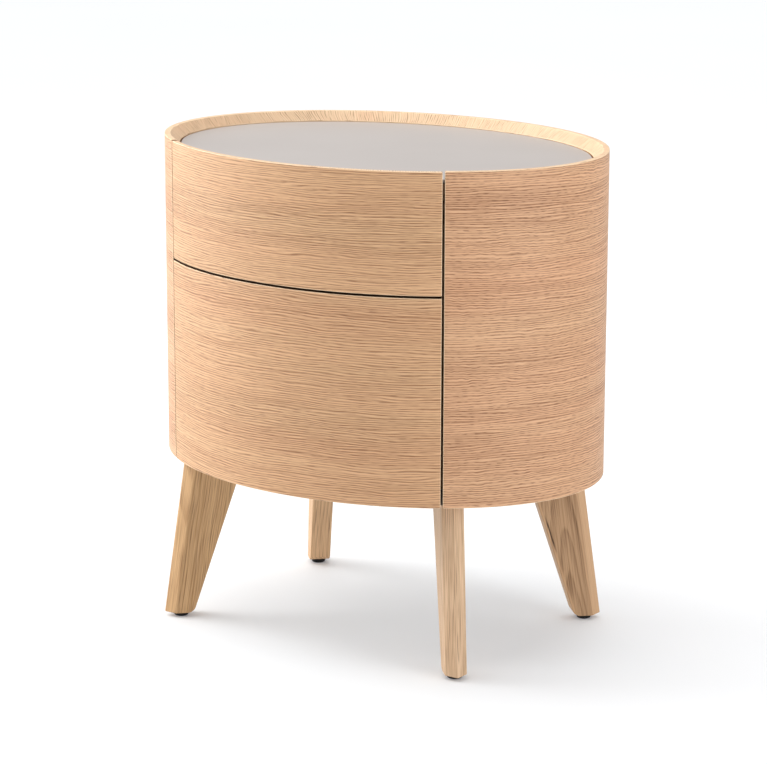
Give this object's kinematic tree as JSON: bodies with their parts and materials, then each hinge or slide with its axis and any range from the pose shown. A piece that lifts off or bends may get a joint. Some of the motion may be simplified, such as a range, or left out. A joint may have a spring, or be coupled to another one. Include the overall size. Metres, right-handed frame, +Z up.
{
  "type": "bedside cabinet",
  "caption": "Oval oak bedside cabinet with handle-less curved drawers on runners, push latches, recessed satin glass top with bevelled rim, and splayed solid legs on glides.",
  "frame": {"origin": "on the floor, under the middle of the oval body", "axes": "+Z up; the drawers face -Y; +X to the right of someone facing the drawers from behind the camera side (-Y)"},
  "size_m": [0.5, 0.38, 0.52],
  "materials": {
    "oak_veneer": "matt lacquered oak veneer, grain running round the oval",
    "solid_oak": "matt oiled solid oak, grain along the leg",
    "satin_glass": "satin back-painted glass, warm grey",
    "clear_bumper": "soft clear bumper",
    "black_plastic": "moulded black plastic",
    "runner_steel": "zinc-plated rolled steel",
    "zinc_steel": "zinc-plated steel",
    "beech": "plain beech",
    "grey_plastic": "moulded grey plastic",
    "oak_panel": "oak-veneered panel",
    "drawer_board": "lacquered oak-veneered board"
  },
  "bodies": {
    "root": {"bottom_panel": "oak_panel", "cabinet_rail_screws": "zinc_steel", "divider_dowels": "beech", "divider_panel": "oak_panel", "front_left_leg": "solid_oak", "front_right_leg": "solid_oak", "glass_pads": "clear_bumper", "glass_top": "satin_glass", "glide_screws": "zinc_steel", "glides": "black_plastic", "glue_blocks": "beech", "latch_screws": "zinc_steel", "left_partition": "oak_panel", "leg_bolts": "zinc_steel", "leg_dowels": "beech", "leg_inserts": "zinc_steel", "leg_washers": "zinc_steel", "lower_latch_housing": "grey_plastic", "lower_latch_spring": "zinc_steel", "lower_left_cabinet_rail": "runner_steel", "lower_right_cabinet_rail": "runner_steel", "partition_dowels": "beech", "rear_left_leg": "solid_oak", "rear_right_leg": "solid_oak", "right_partition": "oak_panel", "side_shell": "oak_veneer", "top_panel": "oak_panel", "upper_latch_housing": "grey_plastic", "upper_latch_spring": "zinc_steel", "upper_left_cabinet_rail": "runner_steel", "upper_right_cabinet_rail": "runner_steel"},
    "lower_drawer": {"lower_back": "drawer_board", "lower_base": "drawer_board", "lower_drawer_dowels": "beech", "lower_front": "oak_veneer", "lower_left_drawer_rail": "runner_steel", "lower_left_side": "drawer_board", "lower_rail_screws": "zinc_steel", "lower_right_drawer_rail": "runner_steel", "lower_right_side": "drawer_board"},
    "lower_latch_plunger": {"lower_latch_plunger": "grey_plastic"},
    "lower_middle_rails": {"lower_left_middle_rail": "runner_steel", "lower_right_middle_rail": "runner_steel"},
    "upper_drawer": {"upper_back": "drawer_board", "upper_base": "drawer_board", "upper_drawer_dowels": "beech", "upper_front": "oak_veneer", "upper_left_drawer_rail": "runner_steel", "upper_left_side": "drawer_board", "upper_rail_screws": "zinc_steel", "upper_right_drawer_rail": "runner_steel", "upper_right_side": "drawer_board"},
    "upper_latch_plunger": {"upper_latch_plunger": "grey_plastic"},
    "upper_middle_rails": {"upper_left_middle_rail": "runner_steel", "upper_right_middle_rail": "runner_steel"}
  },
  "joints": [
    {"name": "lower_drawer_slide", "type": "slide", "parent": "root", "child": "lower_drawer", "axis": [0, -1, 0], "range_m": [0, 0.22]},
    {"name": "lower_middle_rails_slide", "type": "slide", "parent": "root", "child": "lower_middle_rails", "axis": [0, -1, 0], "range_m": [0, 0.11]},
    {"name": "lower_latch_press", "type": "slide", "parent": "root", "child": "lower_latch_plunger", "axis": [0, 1, 0], "range_m": [0, 0.0025], "stiffness_N_per_m": 800, "deforming": ["lower_latch_spring"]},
    {"name": "upper_drawer_slide", "type": "slide", "parent": "root", "child": "upper_drawer", "axis": [0, -1, 0], "range_m": [0, 0.22]},
    {"name": "upper_middle_rails_slide", "type": "slide", "parent": "root", "child": "upper_middle_rails", "axis": [0, -1, 0], "range_m": [0, 0.11]},
    {"name": "upper_latch_press", "type": "slide", "parent": "root", "child": "upper_latch_plunger", "axis": [0, 1, 0], "range_m": [0, 0.0025], "stiffness_N_per_m": 800, "deforming": ["upper_latch_spring"]}
  ],
  "couplings": [
    {"joint": "lower_middle_rails_slide", "follows": "lower_drawer_slide", "ratio": 0.5},
    {"joint": "upper_middle_rails_slide", "follows": "upper_drawer_slide", "ratio": 0.5}
  ]
}
